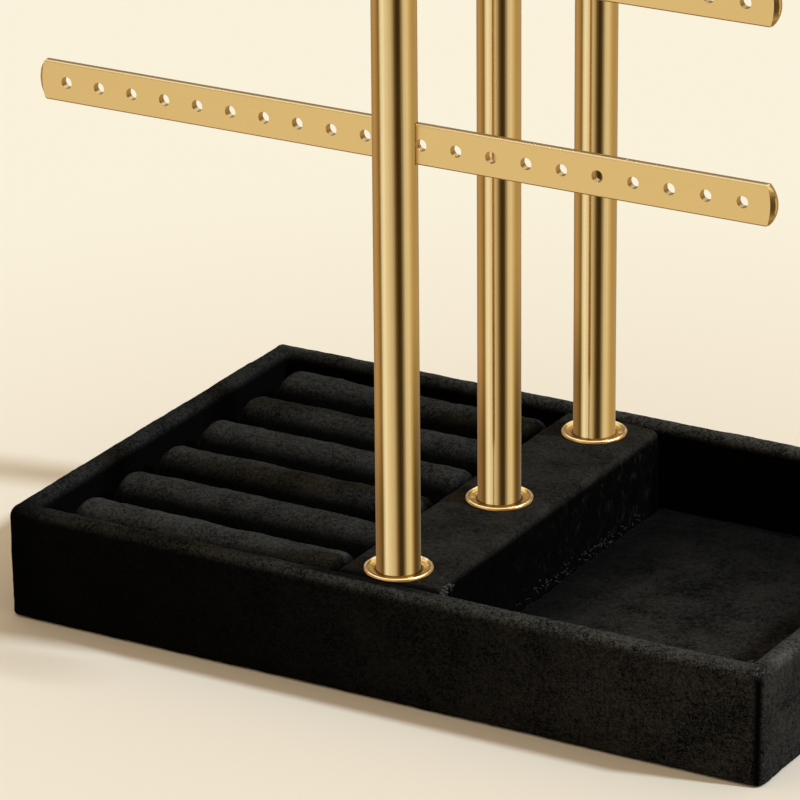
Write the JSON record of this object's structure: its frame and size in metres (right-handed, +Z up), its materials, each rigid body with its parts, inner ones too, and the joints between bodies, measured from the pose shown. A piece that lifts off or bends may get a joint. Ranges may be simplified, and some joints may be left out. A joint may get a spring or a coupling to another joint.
{
  "type": "jewelry stand",
  "caption": "Velvet tray with a lift-out ring insert and an open padded bay, and slim posts between them that carry flat bars with holes for earrings and chains.",
  "frame": {"origin": "middle of the tray's footprint, on the table", "axes": "+X along the tray's front to the right, +Y to the back, +Z up along the posts"},
  "size_m": [0.244, 0.154, 0.3432],
  "materials": {
    "velvet": "crushed black velvet",
    "foam": "open-cell foam",
    "felt": "black non-woven felt",
    "card": "grey board",
    "board": "raw fibreboard",
    "gold_plate": "satin brushed gold",
    "zinc_steel": "zinc plated"
  },
  "bodies": {
    "stand": {"back_board": "board", "bar_back": "gold_plate", "bar_middle": "gold_plate", "bar_set_screws": "gold_plate", "base_board": "board", "base_felt": "felt", "bay_pad_foam": "foam", "bay_pad_wrap": "velvet", "bolt_washers": "zinc_steel", "earring_bar_lower": "gold_plate", "earring_bar_upper": "gold_plate", "front_board": "board", "left_board": "board", "plinth_block": "board", "plinth_wrap": "velvet", "post_back": "gold_plate", "post_bolts": "zinc_steel", "post_cap_back": "gold_plate", "post_cap_front": "gold_plate", "post_cap_middle": "gold_plate", "post_collar_back": "gold_plate", "post_collar_front": "gold_plate", "post_collar_middle": "gold_plate", "post_front": "gold_plate", "post_middle": "gold_plate", "post_plug_back": "zinc_steel", "post_plug_front": "zinc_steel", "post_plug_middle": "zinc_steel", "right_board": "board", "wall_wrap": "velvet"},
    "ring_insert": {"ring_card": "card", "ring_card_velvet": "velvet", "ring_roll_1": "velvet", "ring_roll_2": "velvet", "ring_roll_3": "velvet", "ring_roll_4": "velvet", "ring_roll_5": "velvet", "ring_roll_6": "velvet", "roll_cores": "foam"}
  },
  "joints": [
    {"name": "ring_insert_lift", "type": "slide", "parent": "stand", "child": "ring_insert", "axis": [0, 0, 1], "range_m": [0, 0.045]}
  ]
}
